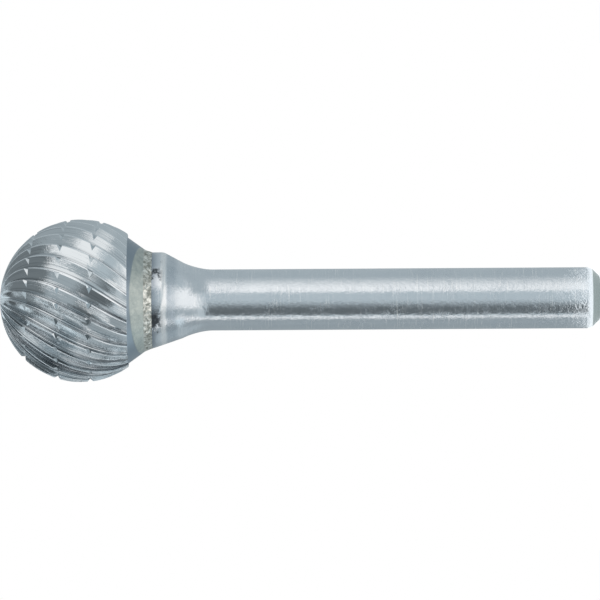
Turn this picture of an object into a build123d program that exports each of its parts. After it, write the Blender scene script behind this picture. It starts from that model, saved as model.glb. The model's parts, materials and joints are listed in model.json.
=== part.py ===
from build123d import *
from math import acos, asin, atan, cos, degrees, pi, radians, sin, sqrt, tan
import os

# Ball-nosed carbide burr: a ground carbide ball brazed to a turned steel shank.
# It stands on the flat end of the shank: +Z runs up the axis towards the tip of the
# ball, and the origin is the centre of the shank's end face. Millimetres and degrees.

# ---- shank: one turned piece of hardened steel ----
shank_diameter = 6.0
shank_length = 44.65            # from the end face to the face that the ball is brazed on
end_chamfer = 0.92              # 45 degree chamfer at the clamping end
end_break = 0.17                # small bevel that takes the edges off the chamfer
neck_diameter = 9.44            # land behind the ball
neck_land_length = 1.8
neck_cone_angle = 28.5          # slope of the neck's cone, from the axis
neck_shoulder_bevel = 0.25      # takes the edge off between the land and the cone
neck_throat_radius = 6.2        # between the cone and the shank

# ---- dressing: the braze was cleaned up on one side of the neck, the -X side ----
dress_angle = 18.7              # slope of the ground flat-sided cone, from the axis
dress_offset = 0.35             # how far its axis lies to the +X side of the shank's
dress_margin = 0.05             # untouched land between the bead and the grinding
dress_clearance = 0.18          # how far the grinding stays off the shank's own surface

# ---- braze: the layer in the joint and the bead squeezed out round it ----
braze_gap = 0.15
bead_length = 0.65              # how far the bead runs along the neck's land
bead_height = 0.33              # how far it stands out where it meets the carbide
bead_edge = 0.06                # thickness of its thin edge on the land

# ---- head: a sintered carbide ball with a bare back ----
head_diameter = 16.0
head_length = 14.2
relief_length = 1.6             # bare cone behind the teeth
relief_depth = 0.34             # how far the wide end of that cone lies under the ball

# ---- teeth: right-hand flutes, cut into the ball from behind ----
flute_count = 30
flute_depth = 0.52              # at the ball's equator
tooth_land = 0.13               # flat left on top of each tooth at the equator
rake_angle = 4.0                # undercut of the cutting face
twist_at_tip = 0.13             # turn round the axis for each degree of latitude
twist_at_back = 0.74
first_flute_angle = 7.5
flute_starts = (0.6, 2.2, 1.3)  # distance from the axis where flutes start, in turn
run_in = 12.0                   # latitude over which a flute reaches its full depth
run_out_latitude = 137.0        # where the grinding wheel has left the ball
run_out = 19.0                  # latitude over which it leaves
flute_stations = 5              # sections of a flute's cutter along its full depth
least_feed = 0.06               # keeps the cutter's section open where it is clear of the ball

# ---- chip breaker: one left-hand groove wound across the teeth ----
groove_pitch = 3.255
groove_depth = 0.28
groove_width = 0.55
groove_start = 1.9              # from the tip, along the axis
groove_end = 11.6
groove_angle = 156.2            # where it starts, round the axis
groove_tilt = 3.7               # the groove was wound on an axis that leans a little
groove_lean_angle = -64.0       # side of the ball where the groove lies nearest the tip
groove_step = 30.0              # turn between the stations of its cutter

tool_reach = 0.2                # how far the cutting tools stand out of the ball

shank_radius = shank_diameter / 2
neck_radius = neck_diameter / 2
ball_radius = head_diameter / 2
head_back = shank_length + braze_gap
tip_height = head_back + head_length
ball_height = tip_height - ball_radius
relief_height = head_back + relief_length
back_radius = neck_radius + bead_height
land_bottom = shank_length - neck_land_length
cone_bottom = land_bottom - (neck_radius - shank_radius) / tan(radians(neck_cone_angle))


def ball_radius_at(height):
    """Distance of the ball's surface from the axis, at a height above the end face."""
    return sqrt(ball_radius**2 - (height - ball_height) ** 2)


def turned(profile):
    """A solid turned about Z from the outline of its half section, drawn on XZ."""
    return revolve(make_face(Plane.XZ * profile), Axis.Z)


def make_shank():
    """Shank, neck and land, turned in one, then dressed on the -X side."""
    slant = end_break / sqrt(2)
    throat = Vector(shank_radius, cone_bottom)
    shoulder = Vector(neck_radius, land_bottom)
    outline = Polyline(
        (0, 0),
        (shank_radius - end_chamfer - end_break, 0),
        (shank_radius - end_chamfer + slant, slant),
        (shank_radius - slant, end_chamfer - slant),
        (shank_radius, end_chamfer + end_break),
        throat,
        shoulder,
        (neck_radius, shank_length),
        (0, shank_length),
        close=True,
    )
    half_section = make_face(outline)
    half_section = fillet(half_section.vertices().sort_by_distance(throat)[0], neck_throat_radius)
    half_section = chamfer(half_section.vertices().sort_by_distance(shoulder)[0], neck_shoulder_bevel)
    return revolve(Plane.XZ * half_section, Axis.Z) - dressing_tool()


def dressing_tool():
    """What the dressing wheel takes away: all that lies outside an offset cone."""
    slope = tan(radians(dress_angle))
    top = shank_length - bead_length - dress_margin
    bottom = top - (neck_radius - shank_radius - dress_clearance) / slope
    wide = neck_radius + dress_offset
    narrow = shank_radius + dress_clearance + dress_offset
    outside = neck_radius + 2 * dress_offset
    ring = Polyline((narrow, bottom), (outside, bottom), (outside, top), (wide, top), close=True)
    return Pos(dress_offset, 0, 0) * turned(ring)


def make_braze():
    """Braze layer between the faces, with the bead that was squeezed out round it."""
    bead_bottom = shank_length - bead_length
    outline = Polyline(
        (0, shank_length),
        (neck_radius, shank_length),
        (neck_radius, bead_bottom),
        (neck_radius + bead_edge, bead_bottom),
        (back_radius, head_back),
        (0, head_back),
        close=True,
    )
    return turned(outline)


def make_ball():
    """The carbide blank: a ball with a flat back and a bare cone before it."""
    teeth_end = (ball_radius_at(relief_height), relief_height)
    shoulder = Vector(0, ball_height) + Vector(ball_radius, 0).rotate(Axis.Z, 45)
    outline = ThreePointArc((0, tip_height), shoulder, teeth_end)
    outline += Polyline(
        teeth_end,
        (teeth_end[0] - relief_depth, relief_height),
        (back_radius, head_back),
        (0, head_back),
        (0, tip_height),
    )
    return turned(outline)


def flute_turn(latitude):
    """Angle round the axis that a flute has turned through, from the tip to a latitude."""
    growth = (twist_at_back - twist_at_tip) / run_out_latitude
    return twist_at_tip * latitude + growth * latitude**2 / 2


def flute_twist(latitude):
    """How fast a flute turns at a latitude, in degrees for each degree."""
    return twist_at_tip + (twist_at_back - twist_at_tip) * latitude / run_out_latitude


def point_on_ball(latitude, angle):
    """Outward direction of a point on the ball; latitude is counted from the tip."""
    return Vector(
        sin(radians(latitude)) * cos(radians(angle)),
        sin(radians(latitude)) * sin(radians(angle)),
        cos(radians(latitude)),
    )


def section_plane(outward, along):
    """Plane across a groove at a point of the ball: Y outward, Z along the groove."""
    across = outward.cross(along)
    origin = Vector(0, 0, ball_height) + outward * ball_radius
    return Plane(origin=origin, x_dir=across, z_dir=along)


def flute_section(latitude, feed):
    """Cross-section of a flute's cutter at full feed, 1, or drawn out of the ball, 0."""
    twist = flute_twist(latitude)
    angle = -flute_turn(latitude)
    outward = point_on_ball(latitude, angle)
    down = point_on_ball(latitude + 90, angle)
    sideways = Vector(-sin(radians(angle)), cos(radians(angle)), 0)
    along = (down - sideways * (sin(radians(latitude)) * twist)).normalized()

    shrink = sin(radians(latitude))
    lean = atan(shrink * twist)
    lean_at_equator = atan(flute_twist(90))
    pitch = 2 * pi * ball_radius / flute_count * shrink * cos(lean)
    full_pitch = 2 * pi * ball_radius / flute_count * cos(lean_at_equator)
    size = pitch / full_pitch
    width = pitch - tooth_land * size
    depth = flute_depth * size * max(feed, least_feed)
    clear = tool_reach / 2 * (1 - feed)
    undercut = depth * tan(radians(rake_angle))
    outline = Polygon(
        (-width / 2, tool_reach),
        (-width / 2, clear),
        (-width / 2 - undercut, clear - depth),
        (width / 2, clear),
        (width / 2, tool_reach),
        align=None,
    )
    return section_plane(outward, along) * outline


def flute_cutter(start_radius):
    """The body swept by the grinding wheel along one flute: in, along at full feed, out."""
    start = degrees(asin(start_radius / ball_radius))
    full_feed = start + run_in
    step = (run_out_latitude - run_out - full_feed) / (flute_stations - 1)
    sections = [flute_section(start, 0)]
    sections += [flute_section(full_feed + step * i, 1) for i in range(flute_stations)]
    sections.append(flute_section(run_out_latitude, 0))
    return loft([section.face() for section in sections])


def groove_section(depth_along_axis):
    """Cross-section of the chip breaker's cutter: a V that straddles the surface."""
    height = ball_radius - depth_along_axis
    latitude = degrees(acos(height / ball_radius))
    angle = groove_angle + 360 * (depth_along_axis - groove_start) / groove_pitch
    outward = point_on_ball(latitude, angle)
    down = point_on_ball(latitude + 90, angle)
    sideways = Vector(-sin(radians(angle)), cos(radians(angle)), 0)
    radius = ball_radius * sin(radians(latitude))
    rise = 1 / sin(radians(latitude))
    along = (down * rise + sideways * (radius * 2 * pi / groove_pitch)).normalized()
    half = groove_width / 2 * (groove_depth + tool_reach) / groove_depth
    outline = Polygon((-half, tool_reach), (0, -groove_depth), (half, tool_reach), align=None)
    return section_plane(outward, along) * outline


def groove_cutter():
    """The body swept by the thin wheel that cuts the chip breaker."""
    turns = (groove_end - groove_start) / groove_pitch
    count = round(turns * 360 / groove_step)
    step = (groove_end - groove_start) / count
    sections = [groove_section(groove_start + step * i).face() for i in range(count + 1)]
    cutter = loft(sections)
    lean = Rot(0, 0, groove_lean_angle) * Rot(0, -groove_tilt, 0) * Rot(0, 0, -groove_lean_angle)
    return Pos(0, 0, ball_height) * lean * Pos(0, 0, -ball_height) * cutter


def make_head():
    """The ball with its flutes and the chip breaker ground in."""
    cutters = [flute_cutter(start) for start in flute_starts]
    flutes = [
        Rot(0, 0, first_flute_angle + 360 / flute_count * k) * cutters[k % len(cutters)]
        for k in range(flute_count)
    ]
    return make_ball() - groove_cutter() - flutes


nodes = {
    "shank": make_shank(),
    "braze_joint": make_braze(),
    "carbide_head": make_head(),
}

os.makedirs("parts", exist_ok=True)
for name, node in nodes.items():
    export_step(node, f"parts/{name}.step")
    print(name, "volume", round(node.volume, 2), "mm3, solids", len(node.solids()))
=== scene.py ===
# %% [markdown]
# # A ball-nosed carbide burr
# A rotary burr is a hard ball of tungsten carbide on a steel shank. It is held by its
# shank in a small grinder and spun against metal. This lesson dresses its plain solids
# for a picture: every surface is made again with finer meshes, and given a finish that
# follows how the real one was ground, brazed and handled.

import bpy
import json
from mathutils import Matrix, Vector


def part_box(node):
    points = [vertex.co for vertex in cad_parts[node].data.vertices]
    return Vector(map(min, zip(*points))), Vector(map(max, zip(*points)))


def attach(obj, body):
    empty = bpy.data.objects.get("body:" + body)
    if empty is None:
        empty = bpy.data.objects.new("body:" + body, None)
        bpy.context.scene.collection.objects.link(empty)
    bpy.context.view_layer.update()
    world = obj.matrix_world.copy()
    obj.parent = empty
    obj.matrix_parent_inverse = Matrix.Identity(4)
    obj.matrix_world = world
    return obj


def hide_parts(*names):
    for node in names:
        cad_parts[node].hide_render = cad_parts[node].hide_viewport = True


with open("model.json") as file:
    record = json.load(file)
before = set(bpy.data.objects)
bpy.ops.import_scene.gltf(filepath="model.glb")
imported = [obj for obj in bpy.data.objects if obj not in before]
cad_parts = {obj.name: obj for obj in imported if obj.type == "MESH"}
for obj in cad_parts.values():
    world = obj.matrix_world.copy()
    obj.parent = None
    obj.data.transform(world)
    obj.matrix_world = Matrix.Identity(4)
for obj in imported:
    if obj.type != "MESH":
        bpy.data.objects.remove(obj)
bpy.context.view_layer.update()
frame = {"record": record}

# %% Modules
import json
from math import acos, asin, atan2, cos, degrees, pi, radians, remainder, sin, tan, tau

import bmesh
import bpy
from mathutils import Matrix, Vector, noise

# %% [markdown]
# ## Sizes
# The frame gives the places of the three solids, and the record gives the radius of the
# shank where a collet grips it. The sizes that neither can tell, such as the slope of
# the neck, are given here, in metres.

# %% Sizes of the tool
MM = 0.001
shank_low, shank_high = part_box("shank")
head_low, head_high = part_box("carbide_head")
braze_low, braze_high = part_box("braze_joint")
mounts = {mount["name"]: mount for mount in frame["record"]["mounts"]}

SHANK_RADIUS = mounts["shank"]["dims"]["r_mm"] * MM
SHANK_TOP = shank_high.z
NECK_RADIUS = shank_high.x
HEAD_BACK = head_low.z
TIP = head_high.z
BALL_RADIUS = 8.0 * MM
BALL_HEIGHT = TIP - BALL_RADIUS
BACK_RADIUS = braze_high.x
BEAD_BOTTOM = braze_low.z
TOOL_LENGTH = TIP - shank_low.z
print("shank", SHANK_RADIUS, "neck", NECK_RADIUS, "ball centre at", BALL_HEIGHT)

# %% [markdown]
# ## Camera
# The tool stands on its shank, but it is looked at as if it lay on its side: the camera
# is level with the middle of the tool and rolled a quarter turn, so that the ball is on
# the left. A long lens from far away keeps the shank's two edges nearly parallel.

# %% Camera
CAMERA_DISTANCE = 600 * MM
CAMERA_DROP = 0.05 * MM        # the tool sits a hair above the middle of the view
CAMERA_ROLL = radians(-0.35)
SENSOR_WIDTH = 36.0

camera = bpy.data.objects.new("camera", bpy.data.cameras.new("camera"))
bpy.context.scene.collection.objects.link(camera)
camera.data.sensor_width = SENSOR_WIDTH
camera.data.lens = SENSOR_WIDTH * CAMERA_DISTANCE / TOOL_LENGTH
camera.data.clip_start = 0.01
camera.data.clip_end = 20.0
image_right, image_up = Vector((0, 0, -1)), Vector((1, 0, 0))
turn = Matrix((image_right, image_up, image_right.cross(image_up))).transposed().to_4x4()
place = Matrix.Translation((-CAMERA_DROP, -CAMERA_DISTANCE, TOOL_LENGTH / 2))
camera.matrix_world = place @ turn @ Matrix.Rotation(CAMERA_ROLL, 4, "Z")
bpy.context.scene.camera = camera
bpy.context.scene.view_settings.view_transform = "Standard"
print("lens", round(camera.data.lens), "mm")

# %% [markdown]
# ## Small helpers
# Every piece is finished the same way: its faces are shaded smooth apart from the real
# edges, it rides with the tool's one body, it stands for a solid, and it takes one of
# the materials made below.

# %% Finish a piece
def finish_piece(bm, name, node, material, edge_angle):
    """Make an object from a bmesh and tie it to the frame."""
    mesh = bpy.data.meshes.new(name)
    bm.to_mesh(mesh)
    bm.free()
    mesh.shade_smooth()
    mesh.set_sharp_from_angle(angle=edge_angle)
    mesh.materials.append(material)
    piece = bpy.data.objects.new(name, mesh)
    bpy.context.scene.collection.objects.link(piece)
    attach(piece, "root")
    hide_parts(node)
    print(name, len(mesh.vertices), "vertices", len(mesh.polygons), "faces")
    return piece


# %% Lathe
WELD = 0.0005 * MM             # corners nearer than this are made one


def lathe(outline, steps, rounded=(), longest=None):
    """Spin a wire of (radius, height) points about Z.

    rounded lists corners by their index, each with a radius and a number of segments.
    Edges of the wire are divided so that none is much longer than longest.
    """
    bm = bmesh.new()
    verts = [bm.verts.new((radius, 0, height)) for radius, height in outline]
    for pair in zip(verts, verts[1:]):
        bm.edges.new(pair)
    for index, radius, segments in rounded:
        corner = verts[index]
        arms = [edge.other_vert(corner).co - corner.co for edge in corner.link_edges]
        reach = radius * tan((pi - arms[0].angle(arms[1])) / 2)
        bmesh.ops.bevel(
            bm, geom=[corner], offset=reach, offset_type="OFFSET", segments=segments,
            affect="VERTICES", profile=0.5, material=-1,
        )
    for edge in list(bm.edges):
        cuts = int(edge.calc_length() / longest) if longest else 0
        if cuts and min(vert.co.x for vert in edge.verts) > 0:
            bmesh.ops.subdivide_edges(bm, edges=[edge], cuts=cuts)
    bmesh.ops.spin(
        bm, geom=bm.verts[:] + bm.edges[:], cent=(0, 0, 0), axis=(0, 0, 1), angle=tau,
        steps=steps, use_merge=True,
    )
    bmesh.ops.remove_doubles(bm, verts=bm.verts, dist=WELD)
    bmesh.ops.recalc_face_normals(bm, faces=bm.faces)
    return bm


# %% [markdown]
# ## Shank
# The shank was turned from one bar: a ground rod, a hollow throat that flares into a
# cone, and a short land that carries the ball. A lathe made it, so a spun outline makes
# it here. Its corners are rounded before the spin, because rounding one point of a wire
# is simpler and surer than a bevel round a finished edge.

# %% Shank outline
CHAMFER = 0.92 * MM
CHAMFER_ROUNDING = 0.45 * MM
LAND_LENGTH = 1.8 * MM
CONE_ANGLE = radians(28.5)
THROAT_RADIUS = 6.2 * MM
SHOULDER_RADIUS = 0.8 * MM

land_bottom = SHANK_TOP - LAND_LENGTH
cone_bottom = land_bottom - (NECK_RADIUS - SHANK_RADIUS) / tan(CONE_ANGLE)
shank_outline = [
    (0, 0),
    (SHANK_RADIUS - CHAMFER, 0),
    (SHANK_RADIUS, CHAMFER),
    (SHANK_RADIUS, cone_bottom),
    (NECK_RADIUS, land_bottom),
    (NECK_RADIUS, SHANK_TOP),
    (0, SHANK_TOP),
]
shank_rounding = [             # corner of the outline, radius, segments
    (1, CHAMFER_ROUNDING, 4),
    (2, CHAMFER_ROUNDING, 5),
    (3, THROAT_RADIUS, 14),
    (4, SHOULDER_RADIUS, 6),
]
print("the cone of the neck starts", round(cone_bottom / MM, 2), "mm above the end face")

# %% [markdown]
# After the ball was brazed on, one side of the neck was ground clean. The grinding is
# part of a cone whose axis lies a little off the tool's own. A Boolean could cut it, but
# the surface is so nearly round that it's enough to press every point that stands out of
# the cone back onto it.

# %% Shank piece
SHANK_STEPS = 160
SHANK_RUN = 0.3 * MM
DRESS_SLOPE = tan(radians(18.7))
DRESS_OFFSET = 0.35 * MM
DRESS_TOP = BEAD_BOTTOM - 0.05 * MM
DRESS_CLEARANCE = 0.18 * MM
dress_bottom = DRESS_TOP - (NECK_RADIUS - SHANK_RADIUS - DRESS_CLEARANCE) / DRESS_SLOPE


def dress(point):
    """Press a point of the neck back onto the off-centre cone of the grinding."""
    if not dress_bottom < point.z < DRESS_TOP:
        return point
    cone_radius = NECK_RADIUS + DRESS_OFFSET - (DRESS_TOP - point.z) * DRESS_SLOPE
    from_cone = Vector((point.x - DRESS_OFFSET, point.y))
    if from_cone.length > cone_radius:
        from_cone.length = cone_radius
    return Vector((from_cone.x + DRESS_OFFSET, from_cone.y, point.z))


def shank_mesh():
    """The turned shank with the dressed side of its neck."""
    bm = lathe(shank_outline, SHANK_STEPS, shank_rounding, SHANK_RUN)
    for vert in bm.verts:
        vert.co = dress(vert.co)
    return bm


print("the neck is dressed over", round((DRESS_TOP - dress_bottom) / MM, 2), "mm")

# %% [markdown]
# ## Braze bead
# Melted braze was squeezed out of the joint and froze as a grainy ring between ball and
# neck. A spun outline gives the ring, and each point of its outer face is then moved
# inwards or outwards by two sizes of noise. A bump alone would leave its outline smooth,
# and grains that show against the light have to be in the mesh.

# %% Braze piece
BEAD_EDGE = 0.06 * MM
BEAD_STEPS = 420
BEAD_RUN = 0.055 * MM
GRAIN_HEIGHT = 0.055 * MM
GRAIN_SIZE = 0.24 * MM
LUMP_HEIGHT = 0.05 * MM
LUMP_SIZE = 1.1 * MM
STILL_SHARE = 0.25             # the grains die away over this share of the bead at the ball
FACE_MARGIN = 0.001 * MM
bead_outline = [
    (0, SHANK_TOP),
    (NECK_RADIUS, SHANK_TOP),
    (NECK_RADIUS, BEAD_BOTTOM),
    (NECK_RADIUS + BEAD_EDGE, BEAD_BOTTOM),
    (BACK_RADIUS, HEAD_BACK),
    (0, HEAD_BACK),
]


def bead_mesh():
    """The braze layer and its grainy bead."""
    bm = lathe(bead_outline, BEAD_STEPS, longest=BEAD_RUN)
    for vert in bm.verts:
        outward = Vector((vert.co.x, vert.co.y, 0))
        radius = outward.length
        height = (vert.co.z - BEAD_BOTTOM) / (HEAD_BACK - BEAD_BOTTOM)
        foot = NECK_RADIUS + BEAD_EDGE
        if radius < foot + (BACK_RADIUS - foot) * height - FACE_MARGIN:
            continue
        fade = min(1.0, (1 - height) / STILL_SHARE)
        grain = noise.noise(vert.co / GRAIN_SIZE) * GRAIN_HEIGHT
        lump = noise.noise(vert.co / LUMP_SIZE) * LUMP_HEIGHT
        vert.co += outward.normalized() * (grain + lump - LUMP_HEIGHT) * fade
    return bm


print("the bead is", round((HEAD_BACK - BEAD_BOTTOM) / MM, 2), "mm wide")

# %% [markdown]
# ## Teeth
# Thirty flutes run from the bare back of the ball towards its tip, turning to the right
# as they rise. Between one cutting edge and the next there is a steep cutting face, a
# rounded root, a long sloping back and a narrow land. Thirty Booleans could cut them, but
# wrapping gives cleaner faces: the whole skin of the ball is made as one flat grid,
# thirty teeth wide, in which every column is one point of the tooth's section and every
# row is one latitude.

# %% Tooth section and flute path
TEETH = 30
FLUTE_DEPTH = 0.52 * MM
TWIST_AT_TIP = 0.13            # degrees round the axis for each degree of latitude
TWIST_AT_BACK = 0.74
RUN_OUT_LATITUDE = 137.0       # latitudes count in degrees from the tip
RUN_OUT = 19.0                 # degrees over which a flute gets shallow at the back
RUN_IN = 9.0                   # and at the tip
FLUTE_STARTS = (0.6 * MM, 2.2 * MM, 1.3 * MM)
TOOTH_SECTION = [              # (share of the pitch, share of the depth) from edge to land
    (0.0, 0.0),
    (-0.03, 0.62),
    (-0.022, 0.92),
    (0.025, 1.0),
    (0.10, 0.985),
    (0.36, 0.80),
    (0.62, 0.47),
    (0.80, 0.17),
    (0.905, 0.0),
]

EQUATOR_PITCH = tau * BALL_RADIUS / TEETH
profile = [
    Vector((share * EQUATOR_PITCH, depth * FLUTE_DEPTH))
    for share, depth in (*TOOTH_SECTION, (1.0, 0.0))
]
strides = [(there - here).length / MM for here, there in zip(profile, profile[1:])]
TOOTH_GIRTH = sum(strides)     # millimetres from edge to edge, down into the root and up
BACK_REACH = sum(strides[:-1])           # and to where the land starts
print("a tooth measures", round(TOOTH_GIRTH, 2), "mm along its section")


def flute_turn(latitude):
    """Degrees that a flute has turned round the axis, from the tip to a latitude."""
    growth = (TWIST_AT_BACK - TWIST_AT_TIP) / RUN_OUT_LATITUDE
    return TWIST_AT_TIP * latitude + growth * latitude**2 / 2


def ramp(x):
    """Smooth rise from 0 to 1 as x goes from 0 to 1."""
    x = min(max(x, 0.0), 1.0)
    return x * x * (3 - 2 * x)


def flute_depth(latitude, tooth):
    """Depth of one flute at a latitude; flutes start at three distances from the tip."""
    start = degrees(asin(FLUTE_STARTS[tooth % len(FLUTE_STARTS)] / BALL_RADIUS))
    feed = ramp((latitude - start) / RUN_IN) * ramp((RUN_OUT_LATITUDE - latitude) / RUN_OUT)
    narrowing = sin(radians(latitude))
    return FLUTE_DEPTH * narrowing * feed


# %% [markdown]
# The cutting face leans back under its edge. Where the teeth end, that lean would fold
# the rim of the skin over itself, so it dies away over the last degrees of latitude.

# %% Wrap the grid round the ball
ROWS = 110
LAST_LATITUDE = 129.0
SEAM_WELD = 0.0001 * MM
SKIN_MARGIN = 0.001 * MM       # keeps the skin inside the solid's box
RELIEF_LENGTH = 1.6 * MM       # from the end of the teeth to the back face
RIM_LATITUDE = degrees(acos((HEAD_BACK + RELIEF_LENGTH - BALL_HEIGHT) / BALL_RADIUS))
LEAN_FADE = 8.0
FIRST_FLUTE_ANGLE = 7.5
LAND_SHARE = 0.088             # share of the pitch that the land takes


def wrap(column, latitude):
    """Place of one grid point: a column of the tooth section at a latitude, in degrees."""
    tooth, point = divmod(column, len(TOOTH_SECTION))
    share, depth_share = TOOTH_SECTION[point]
    depth = flute_depth(latitude, tooth) * depth_share
    pitch = 360 / TEETH
    edge_angle = FIRST_FLUTE_ANGLE - pitch * (1 - LAND_SHARE) / 2
    if share < 0:
        share *= ramp((RIM_LATITUDE - latitude) / LEAN_FADE)
    angle = radians(edge_angle + pitch * (tooth + share) - flute_turn(latitude))
    around = sin(radians(latitude))
    direction = Vector((around * cos(angle), around * sin(angle), cos(radians(latitude))))
    return Vector((0, 0, BALL_HEIGHT)) + direction * (BALL_RADIUS - SKIN_MARGIN - depth)


def ball_skin():
    """The toothed ball, closed at the tip and cut square at the end of the teeth."""
    points = len(TOOTH_SECTION)
    columns = TEETH * points

    def grid_place(vert):
        """Column and latitude of a point of the flat grid, which is 1 wide and 1 high."""
        return round((vert.co.x + 0.5) * columns), (vert.co.y + 0.5) * LAST_LATITUDE

    bm = bmesh.new()
    bmesh.ops.create_grid(bm, x_segments=columns, y_segments=ROWS, size=0.5)
    flutes = bm.loops.layers.uv.new("flutes")
    for face in bm.faces:
        for loop in face.loops:
            column, latitude = grid_place(loop.vert)
            across = column // points * TOOTH_GIRTH + sum(strides[:column % points])
            loop[flutes].uv = (radians(latitude) * BALL_RADIUS / MM, across)
    for vert in bm.verts:
        vert.co = wrap(*grid_place(vert))
    bmesh.ops.remove_doubles(bm, verts=bm.verts, dist=SEAM_WELD)
    bmesh.ops.bisect_plane(
        bm, geom=bm.verts[:] + bm.edges[:] + bm.faces[:],
        plane_co=(0, 0, HEAD_BACK + RELIEF_LENGTH), plane_no=(0, 0, 1), clear_inner=True,
    )
    return bm


print("the teeth end at latitude", round(RIM_LATITUDE, 1), "degrees")

# %% [markdown]
# Behind the teeth the ball steps down to a bare cone and ends in the flat face that was
# brazed. Bridging the ragged rim of the teeth to a circle would draw long thin faces
# across the flutes. So the rim is extruded ring by ring, and the corners of each new ring
# are put on a circle at the angles of the old ones, which never turn back.

# %% Bare back of the ball
RELIEF_DEPTH = 0.34 * MM
CONE_RINGS = 4
teeth_end = HEAD_BACK + RELIEF_LENGTH
cone_top = (BALL_RADIUS**2 - (teeth_end - BALL_HEIGHT) ** 2) ** 0.5 - RELIEF_DEPTH
print("the bare cone starts with a radius of", round(cone_top / MM, 2), "mm")


def walk_round(edges):
    """The corners of a closed ring of edges in order, clockwise seen from the tip."""
    corners, last, in_ring = [edges[0].verts[0]], edges[0], set(edges)
    while len(corners) < len(edges):
        around = [edge for edge in corners[-1].link_edges if edge in in_ring and edge != last]
        last = around[0]
        corners.append(last.other_vert(corners[-1]))
    turned = sum(here.co.cross(there.co).z for here, there in zip(corners, corners[1:]))
    return corners[::-1] if turned > 0 else corners


def never_back(corners):
    """Angles of the corners round the axis; one that lies behind the last takes its place."""
    angles = []
    for corner in corners * 2:
        angle = atan2(corner.co.y, corner.co.x)
        if angles:
            angle = angles[-1] + min(0.0, remainder(angle - angles[-1], tau))
        angles.append(angle)
    return angles[len(corners):]


def ring_below(bm, ring, radius, height):
    """Extrude a ring of edges, put its new corners on a circle and give back the new ring."""
    bmesh.ops.extrude_edge_only(bm, edges=ring)
    corners = walk_round([edge for edge in bm.edges if edge.is_boundary])
    for vert, angle in zip(corners, never_back(corners)):
        vert.co = Vector((radius * cos(angle), radius * sin(angle), height))
    bmesh.ops.remove_doubles(bm, verts=corners, dist=WELD)
    return [edge for edge in bm.edges if edge.is_boundary]


def add_back(bm):
    """Step down to the cone, run it to the back face and close that face."""
    ring = [edge for edge in bm.edges if edge.is_boundary]
    for step in range(CONE_RINGS + 1):
        share = step / CONE_RINGS
        radius = cone_top + (BACK_RADIUS - cone_top) * share
        ring = ring_below(bm, ring, radius, teeth_end - RELIEF_LENGTH * share)
    bmesh.ops.holes_fill(bm, edges=ring, sides=0)
    bmesh.ops.recalc_face_normals(bm, faces=bm.faces)


# %% [markdown]
# The chip breaker is a thin V groove wound the other way across the teeth. It nicks
# every tooth at another height, which the rows of the grid couldn't follow. So its cutter
# is a triangle that is extruded step by step along the groove's path, and a Boolean takes
# it out of the ball.

# %% Chip breaker
GROOVE_PITCH = 3.255 * MM
GROOVE_DEPTH = 0.28 * MM
GROOVE_WIDTH = 0.55 * MM
GROOVE_START = 1.9 * MM        # distances from the tip, along the groove's own axis
GROOVE_END = 11.6 * MM
GROOVE_ANGLE = radians(156.2)  # round the axis, where the groove starts
GROOVE_TILT = radians(3.7)     # the groove's axis leans by this much
GROOVE_LEAN_ANGLE = radians(-64.0)       # round the axis, towards where it leans
GROOVE_REACH = 0.13 * MM       # how far the cutter stands out of the ball
GROOVE_STEP = 6.0              # degrees round the axis
groove_length = GROOVE_END - GROOVE_START
print("the chip breaker goes round", round(groove_length / GROOVE_PITCH, 1), "times")


def groove_point(depth_along_axis):
    """Outward and sideways directions of the groove at a distance from the tip."""
    height = BALL_RADIUS - depth_along_axis
    latitude = acos(height / BALL_RADIUS)
    angle = GROOVE_ANGLE + tau * (depth_along_axis - GROOVE_START) / GROOVE_PITCH
    outward = Vector((sin(latitude) * cos(angle), sin(latitude) * sin(angle), cos(latitude)))
    down = Vector((cos(latitude) * cos(angle), cos(latitude) * sin(angle), -sin(latitude)))
    around = Vector((-sin(angle), cos(angle), 0))
    turning = BALL_RADIUS * sin(latitude) * tau / GROOVE_PITCH
    along = (down / sin(latitude) + around * turning).normalized()
    return outward, outward.cross(along)


def groove_cutter():
    """The V-shaped body that the chip breaker takes out of the teeth."""
    bm = bmesh.new()
    half = GROOVE_WIDTH / 2 * (GROOVE_DEPTH + GROOVE_REACH) / GROOVE_DEPTH
    section = [(-half, GROOVE_REACH), (0, -GROOVE_DEPTH), (half, GROOVE_REACH)]
    corners = [bm.verts.new((across, out, 0)) for across, out in section]
    front = bm.faces.new(corners)
    count = round(groove_length / GROOVE_PITCH * 360 / GROOVE_STEP)
    for step in range(count + 1):
        outward, sideways = groove_point(GROOVE_START + groove_length * step / count)
        origin = outward * BALL_RADIUS
        for vert, (across, out) in zip(corners, section):
            vert.co = origin + sideways * across + outward * out
        if step < count:
            grown = bmesh.ops.extrude_face_region(bm, geom=[front])["geom"]
            new_front = next(part for part in grown if isinstance(part, bmesh.types.BMFace))
            if step:
                bmesh.ops.delete(bm, geom=[front], context="FACES_ONLY")
            front = new_front
            corners = nearest_order(corners, list(front.verts))
    to_side = Matrix.Rotation(GROOVE_LEAN_ANGLE, 3, "Z")
    lean = to_side @ Matrix.Rotation(-GROOVE_TILT, 3, "Y") @ to_side.inverted()
    bmesh.ops.rotate(bm, verts=bm.verts, matrix=lean)
    bmesh.ops.translate(bm, verts=bm.verts, vec=(0, 0, BALL_HEIGHT))
    bmesh.ops.recalc_face_normals(bm, faces=bm.faces)
    return bm


def nearest_order(old, new):
    """The new corners in the order of the old ones that they were extruded from."""
    return [min(new, key=lambda vert: (vert.co - corner.co).length) for corner in old]


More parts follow.
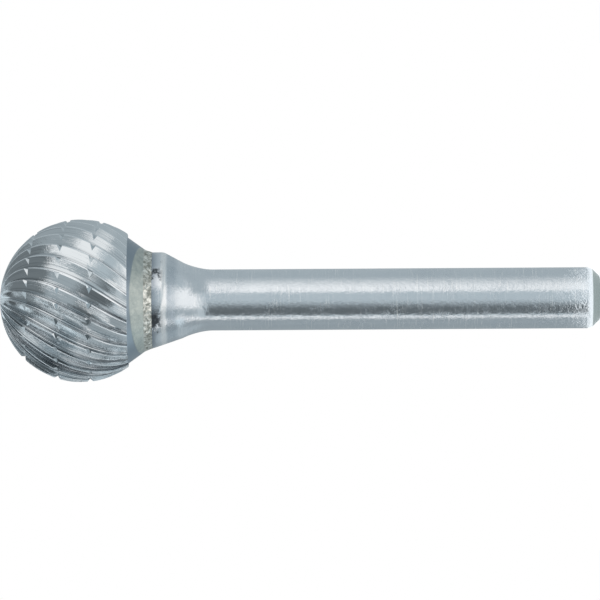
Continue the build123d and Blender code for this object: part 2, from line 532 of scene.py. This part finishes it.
def cut(bm, cutter):
    """The mesh that is left when the cutter is taken out of bm."""
    objects = []
    for name, source in (("blank", bm), ("cutter", cutter)):
        mesh = bpy.data.meshes.new(name)
        source.to_mesh(mesh)
        source.free()
        thing = bpy.data.objects.new(name, mesh)
        bpy.context.scene.collection.objects.link(thing)
        objects.append(thing)
    blank, tool = objects
    modifier = blank.modifiers.new("cut", "BOOLEAN")
    modifier.object = tool
    modifier.operation = "DIFFERENCE"
    modifier.solver = "EXACT"
    graph = bpy.context.evaluated_depsgraph_get()
    result = bmesh.new()
    result.from_mesh(blank.evaluated_get(graph).to_mesh())
    for thing in objects:
        bpy.data.objects.remove(thing)
    return result


# %% Head piece
def head_mesh():
    """The ball with its teeth, bare back and chip breaker."""
    bm = ball_skin()
    add_back(bm)
    return cut(bm, groove_cutter())


# %% [markdown]
# ## Materials
# Bare metal has hardly a colour of its own: it looks like the room that it mirrors. So
# the finishes are mostly relief and roughness, with tints where grinding, heat or soot
# changed the surface, and with painted shade and painted highlights in a few places.
# Painted images could do that too, but masks that are worked out from a point's place on
# the tool stay sharp from near by. Small helpers keep the node trees readable.

# %% Node helpers
def add(tree, kind, inputs=None, **settings):
    """Add a node, set its properties and fill its inputs with values or links."""
    made = tree.nodes.new(kind)
    for name, value in settings.items():
        setattr(made, name, value)
    for name, value in (inputs or {}).items():
        if isinstance(value, bpy.types.NodeSocket):
            tree.links.new(value, made.inputs[name])
        else:
            made.inputs[name].default_value = value
    return made


def calc(tree, operation, *values, clamp=False):
    """A Math node on sockets or numbers; gives back its output."""
    inputs = dict(enumerate(values))
    return add(tree, "ShaderNodeMath", inputs, operation=operation, use_clamp=clamp).outputs[0]


def blend(tree, share, first, second):
    """A colour between two, by a share from 0 to 1."""
    first, second = [(*one, 1) if isinstance(one, tuple) else one for one in (first, second)]
    inputs = {0: share, 6: first, 7: second}
    return add(tree, "ShaderNodeMix", inputs, data_type="RGBA").outputs[2]


def remap(tree, value, from_low, from_high, to_low=0.0, to_high=1.0, smooth=True):
    """Bring a value from one range to another, clamped at both ends."""
    inputs = {"Value": value, "From Min": from_low, "From Max": from_high}
    inputs.update({"To Min": to_low, "To Max": to_high})
    kind = "SMOOTHSTEP" if smooth else "LINEAR"
    return add(tree, "ShaderNodeMapRange", inputs, interpolation_type=kind).outputs[0]


def between(tree, value, rise, fall):
    """A mask that rises over one span of a value and falls over a later one."""
    rising, falling = remap(tree, value, *rise), remap(tree, value, *reversed(fall))
    return calc(tree, "MULTIPLY", rising, falling)


def duller(tree, base, wear):
    """The roughest of a base and of pairs of a mask and its roughness."""
    for mask, roughness in wear:
        base = calc(tree, "MAXIMUM", base, calc(tree, "MULTIPLY", mask, roughness))
    return base


def clouds(tree, vector, detail, roughness, scale=1.0):
    """Noise at a vector; gives back its value."""
    inputs = {"Vector": vector, "Scale": scale, "Detail": detail, "Roughness": roughness}
    return add(tree, "ShaderNodeTexNoise", inputs).outputs[0]


def give_relief(tree, shader, height, distance, strength):
    """Let a height tilt the shading, as if it were a relief of that distance."""
    inputs = {"Height": height, "Distance": distance, "Strength": strength}
    relief = add(tree, "ShaderNodeBump", inputs)
    tree.links.new(relief.outputs[0], shader.inputs["Normal"])


# %% [markdown]
# What more than one material needs becomes a node group: a small tree with sockets of its
# own, made once and then used like any other node.

# %% Group helpers
FLOAT, VECTOR = "NodeSocketFloat", "NodeSocketVector"


def group(name, inputs, outputs):
    """A new shader node group with its sockets; gives back the tree and its two ends."""
    tree = bpy.data.node_groups.new(name, "ShaderNodeTree")
    for socket, kind, default in inputs:
        made = tree.interface.new_socket(socket, in_out="INPUT", socket_type=kind)
        if default is not None:
            made.default_value = default
    for socket, kind in outputs:
        tree.interface.new_socket(socket, in_out="OUTPUT", socket_type=kind)
    entry, result = tree.nodes.new("NodeGroupInput"), tree.nodes.new("NodeGroupOutput")
    return tree, entry.outputs, result.inputs


def use(tree, node_group, **inputs):
    """Place a node group and fill its inputs; gives back its outputs."""
    return add(tree, "ShaderNodeGroup", inputs, node_tree=node_group).outputs


# %% [markdown]
# Everything on this tool was cut or ground by grit that moved in one direction, and that
# leaves fine lines. A wave texture would space them too evenly, so the group stretches
# noise instead: the cell is the size of one grain of noise along each axis, and a long
# cell gives lines along that axis.

# %% Grinding lines group
LINE_DETAIL = 3.0
LINE_ROUGHNESS = 0.6
DEEP_LEVELS = (0.55, 0.68)     # noise levels where a deep line starts and where it is full
lines_group, ins, outs = group(
    "grinding lines",
    [("Vector", VECTOR, None), ("Cell", VECTOR, (1.0, 1.0, 1.0))],
    [("Height", FLOAT), ("Deep Lines", FLOAT)],
)
cells = {0: ins["Vector"], 1: ins["Cell"]}
stretched = add(lines_group, "ShaderNodeVectorMath", cells, operation="DIVIDE").outputs[0]
fine_lines = clouds(lines_group, stretched, LINE_DETAIL, LINE_ROUGHNESS)
lines_group.links.new(fine_lines, outs["Height"])
lines_group.links.new(remap(lines_group, fine_lines, *DEEP_LEVELS), outs["Deep Lines"])
print(lines_group.name, "group of", len(lines_group.nodes), "nodes")

# %% [markdown]
# Stains and smudges are patches with a ragged edge. The group cuts noise off at a level.
# A lower level leaves more of it, which is the cover, and the softness blurs the edge.

# %% Patches group
PATCH_DETAIL = 5.0
PATCH_ROUGHNESS = 0.65
EMPTY_LEVEL = 0.75             # noise hardly ever rises above it
COVER_DEPTH = 0.5              # how far a full cover lowers the level
patches_group, ins, outs = group(
    "patches",
    [
        ("Vector", VECTOR, None),
        ("Size", FLOAT, 1.0),
        ("Cover", FLOAT, 0.3),
        ("Softness", FLOAT, 0.1),
    ],
    [("Mask", FLOAT)],
)
cells = {0: ins["Vector"], "Scale": calc(patches_group, "DIVIDE", 1.0, ins["Size"])}
scaled = add(patches_group, "ShaderNodeVectorMath", cells, operation="SCALE").outputs[0]
cloud = clouds(patches_group, scaled, PATCH_DETAIL, PATCH_ROUGHNESS)
lowered = calc(patches_group, "MULTIPLY", ins["Cover"], COVER_DEPTH)
level = calc(patches_group, "SUBTRACT", EMPTY_LEVEL, lowered)
share = calc(patches_group, "SUBTRACT", cloud, level)
share = calc(patches_group, "DIVIDE", share, ins["Softness"])
patches_group.links.new(calc(patches_group, "ADD", share, 0.5, clamp=True), outs["Mask"])
print(patches_group.name, "group of", len(patches_group.nodes), "nodes")


def patches(tree, vector, size, cover, softness):
    """A mask of ragged patches at a vector."""
    inputs = {"Vector": vector, "Size": size, "Cover": cover, "Softness": softness}
    return use(tree, patches_group, **inputs)["Mask"]


# %% Start of a metal
def metal(name):
    """A new metallic material; gives back it, its tree and its shader."""
    material = bpy.data.materials.new(name)
    material.use_nodes = True
    shader = material.node_tree.nodes["Principled BSDF"]
    shader.inputs["Metallic"].default_value = 1.0
    return material, material.node_tree, shader


def place_in_mm(tree):
    """Object coordinates in millimetres, and their three parts."""
    coords = add(tree, "ShaderNodeTexCoord").outputs["Object"]
    inputs = {0: coords, "Scale": 1 / MM}
    scaled = add(tree, "ShaderNodeVectorMath", inputs, operation="SCALE").outputs[0]
    return scaled, add(tree, "ShaderNodeSeparateXYZ", {0: scaled}).outputs


# %% [markdown]
# ### Carbide
# A diamond wheel ground the flutes and ran along them, so its lines follow the flutes.
# Lines along a fixed axis couldn't bend with them. That is why the wrapped grid carries
# a UV map, which counts millimetres along a flute and across the teeth. The same map
# tells the root and the land of a tooth from its back. Behind the teeth the wheel still
# reached a plain band, a little askew, and the rest kept its skin from the furnace.

# %% Places on the ball
LAND_BLUR = 0.01               # as shares of a tooth's girth, like the next one
ROOT_SHADE_SPANS = (0.0, 0.05), (0.30, 0.55)   # where the root's shade fades in and out
RIM_BLUR = 0.02                # in millimetres, like the next three
BAND_WIDTH = 1.42
BAND_SLANT = 0.2
SKIN_BLUR = 0.1
carbide, tree, shader = metal("ground carbide")
place, axes = place_in_mm(tree)
flutes = add(tree, "ShaderNodeUVMap", uv_map="flutes").outputs[0]
across = add(tree, "ShaderNodeSeparateXYZ", {0: flutes}).outputs["Y"]
rim = (HEAD_BACK + RELIEF_LENGTH) / MM
bare_back = remap(tree, axes["Z"], rim + RIM_BLUR, rim - RIM_BLUR)
toothed = calc(tree, "SUBTRACT", 1.0, bare_back)
tooth_share = calc(tree, "FRACT", calc(tree, "DIVIDE", across, TOOTH_GIRTH))
land_start = BACK_REACH / TOOTH_GIRTH
land = remap(tree, tooth_share, land_start - LAND_BLUR, land_start + LAND_BLUR)
land = calc(tree, "MULTIPLY", land, toothed)
# the root of each flute, where painted shade goes below
root = between(tree, tooth_share, *ROOT_SHADE_SPANS)
wheel_edge = calc(tree, "ADD", axes["Z"], calc(tree, "MULTIPLY", axes["Y"], BAND_SLANT))
skin_top = rim - BAND_WIDTH
skin = remap(tree, wheel_edge, skin_top, skin_top - SKIN_BLUR, smooth=False)
print("the land takes", round(100 * (1 - land_start), 1), "percent of a tooth's girth")

# %% [markdown]
# Some passes of the wheel left deeper lines than others, and the furnace skin has a fine
# grain in place of lines. Both are far too small for geometry, so a bump tilts the
# shading instead.

# %% Relief of the carbide
FLUTE_CELL = (13.0, 0.14, 1.0)
PASS_RELIEF = (0.3, 1.6)       # relief of the lines in a light and in a heavy pass
SKIN_RELIEF = 2.0
lines = use(tree, lines_group, Vector=flutes, Cell=FLUTE_CELL)
passes = patches(tree, flutes, size=2.2, cover=0.5, softness=0.3)
grain = clouds(tree, place, detail=4.0, roughness=0.7, scale=4.0)
height = calc(tree, "MULTIPLY", lines["Height"], remap(tree, passes, 0, 1, *PASS_RELIEF))
height = calc(tree, "MULTIPLY", height, toothed)
skin_height = calc(tree, "MULTIPLY", grain, calc(tree, "MULTIPLY", skin, SKIN_RELIEF))
height = calc(tree, "ADD", height, skin_height)
give_relief(tree, shader, height, distance=0.016 * MM, strength=1.0)
print("grinding lines are", FLUTE_CELL[1], "mm wide")

# %% [markdown]
# The roots of the flutes are painted dark, as shade, with bright streaks through it, and
# the lands are painted brighter than the rest of the head, as a highlight. The plain band
# is grey, and the furnace skin is matte and greenish with stains. Each of these is
# blended over the one before by its mask.

# %% Colour and painted light of the carbide
GROUND_CARBIDE = (0.76, 0.80, 0.82)
WORN_LINE = (0.42, 0.45, 0.48)
LAND_HIGHLIGHT = (0.92, 0.95, 0.97)
ROOT_SHADE_COLOUR = (0.15, 0.17, 0.19)
PLAIN_BAND = (0.32, 0.38, 0.43)
FIRED_SKIN = (0.63, 0.66, 0.61)
STAINED_SKIN = (0.42, 0.47, 0.45)
LINE_WEAR = 0.7                # how much of the worn colour a deep line takes
STREAK_LEVELS = (0.42, 0.58)
ROOT_SHADE_DEPTH = (0.7, 1.0)     # in a light and in a heavy pass
worn = calc(tree, "MULTIPLY", lines["Deep Lines"], LINE_WEAR)
ground = blend(tree, worn, GROUND_CARBIDE, WORN_LINE)
streaks = remap(tree, lines["Height"], *STREAK_LEVELS)
# painted shade: the roots of the flutes are darkened, more in a heavy pass, with bright
# streaks through it
root = calc(tree, "MULTIPLY", root, remap(tree, passes, 0, 1, *ROOT_SHADE_DEPTH))
ground = blend(tree, root, ground, blend(tree, streaks, ROOT_SHADE_COLOUR, GROUND_CARBIDE))
# painted highlight: the lands are brightened, as their worn, rounded edges would catch light
ground = blend(tree, land, ground, LAND_HIGHLIGHT)
ground = blend(tree, bare_back, ground, PLAIN_BAND)
stains = patches(tree, place, size=0.6, cover=0.5, softness=0.4)
ground = blend(tree, skin, ground, blend(tree, stains, FIRED_SKIN, STAINED_SKIN))
tree.links.new(ground, shader.inputs["Base Color"])
print("carbide reflects", GROUND_CARBIDE, "in its flutes and", FIRED_SKIN, "on its skin")

# %% [markdown]
# The polish is best in the flutes. The land, the plain band and the furnace skin are
# duller, each by its own mask.

# %% Roughness of the carbide
POLISHED_CARBIDE = 0.05
carbide_wear = [(land, 0.28), (bare_back, 0.3), (skin, 0.42)]
tree.links.new(duller(tree, POLISHED_CARBIDE, carbide_wear), shader.inputs["Roughness"])
print(carbide.name, "has", len(tree.nodes), "nodes")

# %% [markdown]
# ### Steel
# The shank was ground while it turned, so its fine lines run round it. A cell that is
# long across the shank and short along it gives such rings without a UV map. Wider
# noise adds a slight orange peel, which makes the reflections waver.

# %% Relief of the steel
RING_CELL = (2.5, 2.5, 0.14)
PEEL_RELIEF = 0.9
RING_RELIEF = 0.16
steel, tree, shader = metal("ground steel")
place, axes = place_in_mm(tree)
rings = use(tree, lines_group, Vector=place, Cell=RING_CELL)
peel = clouds(tree, place, detail=3.0, roughness=0.6, scale=3.0)
peel_height = calc(tree, "MULTIPLY", peel, PEEL_RELIEF)
height = calc(tree, "ADD", peel_height, calc(tree, "MULTIPLY", rings["Height"], RING_RELIEF))
give_relief(tree, shader, height, distance=0.05 * MM, strength=0.55)
print("rings are", RING_CELL[2], "mm wide")

# %% [markdown]
# Handling left smudges that are a little darker, with bright rings scoured through them.
# Brazing heated the neck: the land beside the braze took on a dark tint, and a dull heat
# mark lies below the shoulder. The shoulder below the land gets a painted highlight, a
# bright ring. The chamfer at the shank's end is painted darker, as shade, and has the
# roughness of turned metal. A piece turned on a lathe wears and heats in rings, so masks
# of the height on the shank are enough for all these.

# %% Wear, heat and painted light on the steel
GROUND_STEEL = (0.80, 0.84, 0.87)
DULL_STEEL = (0.62, 0.67, 0.72)
SCRATCH_AND_HIGHLIGHT_STEEL = (0.97, 0.98, 0.98)
HEATED_STEEL = (0.52, 0.58, 0.63)
TINTED_STEEL = (0.28, 0.33, 0.38)
CHAMFER_SHADE_STEEL = (0.30, 0.35, 0.35)
SMUDGE_SHADE = 0.35
SCOURING = (0.15, 1.0)         # strength of the bright rings outside and in a smudge
HEAT_STRENGTH = (0.45, 1.0)    # the same for the heat mark
HEAT_SPANS = (-3.4, -2.7), (-2.3, -1.9)      # fade in and out, in millimetres from the top
TINT_SPAN = (-1.5, -0.5)
TINT_STRENGTH = 0.85
SHOULDER_HIGHLIGHT_SPANS = (-2.2, -1.9), (-1.65, -1.4)
CHAMFER_SHADE_SPAN = (0.84, 0.74)     # in millimetres from the shank's end
smudge = patches(tree, place, size=3.0, cover=0.5, softness=0.35)
scoured = calc(tree, "MULTIPLY", rings["Deep Lines"], remap(tree, smudge, 0, 1, *SCOURING))
below_top = calc(tree, "SUBTRACT", axes["Z"], SHANK_TOP / MM)
heated = between(tree, below_top, *HEAT_SPANS)
heated = calc(tree, "MULTIPLY", heated, remap(tree, smudge, 0, 1, *HEAT_STRENGTH))
tinted = remap(tree, below_top, *TINT_SPAN, 0, TINT_STRENGTH)
shoulder_highlight = between(tree, below_top, *SHOULDER_HIGHLIGHT_SPANS)
# the chamfer at the shank's end, which gets painted shade below
turned = remap(tree, axes["Z"], *CHAMFER_SHADE_SPAN)
surface = blend(tree, calc(tree, "MULTIPLY", smudge, SMUDGE_SHADE), GROUND_STEEL, DULL_STEEL)
surface = blend(tree, scoured, surface, SCRATCH_AND_HIGHLIGHT_STEEL)
surface = blend(tree, heated, surface, HEATED_STEEL)
surface = blend(tree, tinted, surface, TINTED_STEEL)
# painted highlight: a bright ring on the rounded shoulder
surface = blend(tree, shoulder_highlight, surface, SCRATCH_AND_HIGHLIGHT_STEEL)
# painted shade: the chamfer is darkened
surface = blend(tree, turned, surface, CHAMFER_SHADE_STEEL)
print("the heat mark fades out", -HEAT_SPANS[0][0], "mm below the joint")

# %% [markdown]
# The flux that ran out beside the braze left black spots on the land, most of them in
# two places. The cover of the patches is raised there, so that the spots keep their
# ragged edges, which a round stain wouldn't have.

# %% Soot on the steel
SOOT = (0.10, 0.11, 0.12)
SOOT_SPAN = (-1.9, -1.2)       # in millimetres from the top of the shank
SOOT_COVER = 0.2
SPOT_COVER = 0.42
FLUX_SPOTS = ((2.7, 0.9), (-2.3, 1.2))   # middle and half width along X, in millimetres
cover = SOOT_COVER
for middle, half_width in FLUX_SPOTS:
    distance = calc(tree, "ABSOLUTE", calc(tree, "SUBTRACT", axes["X"], middle))
    cover = calc(tree, "ADD", cover, remap(tree, distance, half_width, 0, 0, SPOT_COVER))
soot = patches(tree, place, size=0.8, cover=cover, softness=0.1)
soot = calc(tree, "MULTIPLY", soot, remap(tree, below_top, *SOOT_SPAN))
tree.links.new(blend(tree, soot, surface, SOOT), shader.inputs["Base Color"])
print(len(FLUX_SPOTS), "places with more soot")

# %% [markdown]
# A smudge is also frosted with tiny rough patches. Wear and heat each have a roughness
# of their own, and the roughest of them wins where they meet. Soot dulls all of them.

# %% Roughness of the steel
POLISHED_STEEL = 0.11
FROST = (0.02, 0.2)            # added roughness outside and in a smudge
SOOT_ROUGHNESS = 0.35
frost = patches(tree, place, size=0.4, cover=0.5, softness=0.12)
frost = calc(tree, "MULTIPLY", frost, remap(tree, smudge, 0, 1, *FROST))
steel_wear = [(heated, 0.36), (shoulder_highlight, 0.3), (scoured, 0.36), (turned, 0.36)]
dull = duller(tree, calc(tree, "ADD", frost, POLISHED_STEEL), steel_wear)
dull = calc(tree, "ADD", dull, calc(tree, "MULTIPLY", soot, SOOT_ROUGHNESS))
tree.links.new(dull, shader.inputs["Roughness"])
print(steel.name, "has", len(tree.nodes), "nodes")

# %% [markdown]
# ### Braze
# Silver braze freezes with a grainy skin. The larger grains are in the mesh, and the
# smallest ones are painted as patches of two colours: a painted highlight on the grains
# and painted shade between them.

# %% Braze
GRAIN_HIGHLIGHT_BRAZE = (0.93, 0.93, 0.86)
GRAIN_SHADE_BRAZE = (0.34, 0.35, 0.31)
BRAZE_ROUGHNESS = (0.22, 0.5)  # on the grains and between them
braze, tree, shader = metal("silver braze")
grain_light_and_shade = patches(tree, place_in_mm(tree)[0], size=0.35, cover=0.5, softness=0.2)
# painted highlight and painted shade of the smallest grains
tree.links.new(blend(tree, grain_light_and_shade, GRAIN_HIGHLIGHT_BRAZE, GRAIN_SHADE_BRAZE), shader.inputs["Base Color"])
tree.links.new(remap(tree, grain_light_and_shade, 0, 1, *BRAZE_ROUGHNESS), shader.inputs["Roughness"])
print(braze.name, "has", len(tree.nodes), "nodes")

# %% [markdown]
# ## Pieces
# Each mesh now gets its material and takes the place of its solid. An edge turns sharp
# where two faces meet at more than the piece's own angle. The ball needs a small one, so
# that lands and cutting edges stay crisp, and the bead a large one, so that its grains
# look melted.

# %% Make the pieces
STEEL_EDGE, BRAZE_EDGE, CARBIDE_EDGE = radians(30), radians(60), radians(7)
finish_piece(shank_mesh(), "ground_shank", "shank", steel, STEEL_EDGE)
finish_piece(bead_mesh(), "braze_bead", "braze_joint", braze, BRAZE_EDGE)
finish_piece(head_mesh(), "toothed_ball", "carbide_head", carbide, CARBIDE_EDGE)

# %% [markdown]
# ## Studio
# The tool stands on a small round table of pale card, in a white tent. Lamps would put
# small hot spots on mirror-like metal, and the tent lights it evenly from all sides. The
# table adds a little light of its own to what the camera and the metal see, so that it is
# as white as the tent.

# %% Stage helper
def stage_piece(bm, name, material):
    """Make an object that belongs to the studio and not to the tool."""
    mesh = bpy.data.meshes.new(name)
    bm.to_mesh(mesh)
    bm.free()
    mesh.materials.append(material)
    piece = bpy.data.objects.new(name, mesh)
    bpy.context.scene.collection.objects.link(piece)
    return piece


# %% Table
TABLE_RADIUS = 25 * MM
TABLE_SIDES = 96
TABLE_WHITE = 0.92
TABLE_ROUGHNESS = 0.9
TABLE_GLOW = 0.7
pale_card = bpy.data.materials.new("pale card")
pale_card.use_nodes = True
tree = pale_card.node_tree
shader = tree.nodes["Principled BSDF"]
shader.inputs["Base Color"].default_value = (TABLE_WHITE, TABLE_WHITE, TABLE_WHITE, 1)
shader.inputs["Roughness"].default_value = TABLE_ROUGHNESS
shader.inputs["Emission Color"].default_value = (1, 1, 1, 1)
rays = add(tree, "ShaderNodeLightPath").outputs
seen = calc(tree, "MAXIMUM", rays["Is Glossy Ray"], rays["Is Transmission Ray"])
seen = calc(tree, "MAXIMUM", rays["Is Camera Ray"], seen)
tree.links.new(calc(tree, "MULTIPLY", seen, TABLE_GLOW), shader.inputs["Emission Strength"])

bm = bmesh.new()
bmesh.ops.create_circle(bm, cap_ends=True, segments=TABLE_SIDES, radius=TABLE_RADIUS)
stage_piece(bm, "table", pale_card)
print("the table is", round(2 * TABLE_RADIUS / MM), "mm across")

# %% Tent
world = bpy.data.worlds.new("white tent")
bpy.context.scene.world = world
world.use_nodes = True
world.node_tree.nodes["Background"].inputs["Color"].default_value = (1, 1, 1, 1)
print("world is", world.name)

# %% [markdown]
# A mirror in a white tent is white all over and has no shape. So grey and black cards
# hang round the tool, and their reflections draw its form. A card is a patch of a
# sphere, given by its bearing round the tool, 0 towards the camera and 90 to the top of
# the image, and its height above or below the tool's middle, in degrees. Its edges
# fade out, and the camera doesn't see it. Each card hangs a little nearer to the tool
# than the one before it in the list, and so covers it.

# %% Cards
CARD_DISTANCE = 900 * MM
CARD_GAP = 20 * MM
CARD_STEP = 10                 # degrees between the rows of a card's mesh
CARD_TINT = (0.86, 0.97, 1.03)
CARDS = [                      # sides left, right, bottom, top; fade of each side; level
    ("far", (38, 272, -90, 90), (60, 6, 1, 1), 0.50),
    ("brow", (40, 140, 22, 90), (14, 10, 10, 1), 0.42),
    ("low_right", (28, 110, -90, -34), (34, 14, 1, 8), 0.55),
    ("right", (6, 110, -36, -6), (26, 14, 4, 5), 0.50),
    ("upper_right", (54, 150, 7, 34), (18, 10, 5, 8), 0.46),
    ("front", (-71, 29, -25, 15), (4, 3, 8, 8), 0.60),
    ("high_front", (-66, 4, 12, 90), (6, 6, 6, 1), 0.46),
    ("low_front", (-66, -20, -90, -18), (6, 22, 1, 8), 0.48),
    ("low", (-103, -76, -90, 60), (3, 3, 1, 10), 0.40),
    ("near_left", (-180, -70, 12, 60), (0, 3, 6, 8), 0.85),
    ("near_right", (-180, -70, -64, -34), (0, 3, 8, 8), 0.85),
    ("side", (-63, -2, -14, 34), (3, 34, 6, 14), 0.16),
    ("under_far", (-180, -103, -14, 12), (0, 3, 6, 6), 0.40),
    ("top", (-180, 180, 54, 90), (0, 0, 10, 1), 0.22),
    ("under", (-180, 180, -90, -58), (0, 0, 1, 8), 0.30),
]
BARS = ((-92, -77), (-124, -106), (-162, -138))   # dark strips that draw the lower teeth
for left, right in BARS:
    CARDS.append(("bar", (left, right, 12, 60), (3, 3, 4, 6), 0.12))
print(len(CARDS), "cards,", len(BARS), "of them dark bars")


# %% Card material
def card_material(name, width, height, fades, level):
    """Light of one level that fades out towards the card's sides."""
    material = bpy.data.materials.new(name)
    material.use_nodes = True
    tree = material.node_tree
    card_map = add(tree, "ShaderNodeUVMap", uv_map="card").outputs[0]
    spot = add(tree, "ShaderNodeSeparateXYZ", {0: card_map}).outputs
    from_right = calc(tree, "SUBTRACT", width, spot["X"])
    from_top = calc(tree, "SUBTRACT", height, spot["Y"])
    solid = 1.0
    for distance, fade in zip((spot["X"], from_right, spot["Y"], from_top), fades):
        if fade:
            solid = calc(tree, "MULTIPLY", solid, remap(tree, distance, 0, fade))
    colour = (*(level * part for part in CARD_TINT), 1)
    glow = add(tree, "ShaderNodeEmission", {"Color": colour}).outputs[0]
    clear = add(tree, "ShaderNodeBsdfTransparent").outputs[0]
    mixed = add(tree, "ShaderNodeMixShader", {0: solid, 1: clear, 2: glow}).outputs[0]
    tree.links.new(mixed, tree.nodes["Material Output"].inputs["Surface"])
    return material


# %% Card mesh
def card_mesh(left, bottom, width, height, distance):
    """A patch of a sphere round the tool's middle, with its own degrees as a UV map."""
    bm = bmesh.new()
    columns, rows = [max(2, int(span / CARD_STEP)) for span in (width, height)]
    bmesh.ops.create_grid(bm, x_segments=columns, y_segments=rows, size=0.5)
    layer = bm.loops.layers.uv.new("card")
    for face in bm.faces:
        for loop in face.loops:
            x, y, _ = loop.vert.co
            loop[layer].uv = ((x + 0.5) * width, (y + 0.5) * height)
    for vert in bm.verts:
        bearing = radians(left + (vert.co.x + 0.5) * width)
        rise = radians(bottom + (vert.co.y + 0.5) * height)
        outward = Vector((cos(rise) * sin(bearing), -cos(rise) * cos(bearing), sin(rise)))
        vert.co = Vector((0, 0, TOOL_LENGTH / 2)) + outward * distance
    return bm


# %% Hang the cards
for index, (name, (left, right, bottom, top), fades, level) in enumerate(CARDS):
    width, height = right - left, top - bottom
    distance = CARD_DISTANCE - index * CARD_GAP
    mesh = card_mesh(left, bottom, width, height, distance)
    material = card_material(name + " card", width, height, fades, level)
    stage_piece(mesh, name + "_card", material).visible_camera = False
print("the nearest card hangs", round(distance / MM), "mm away")
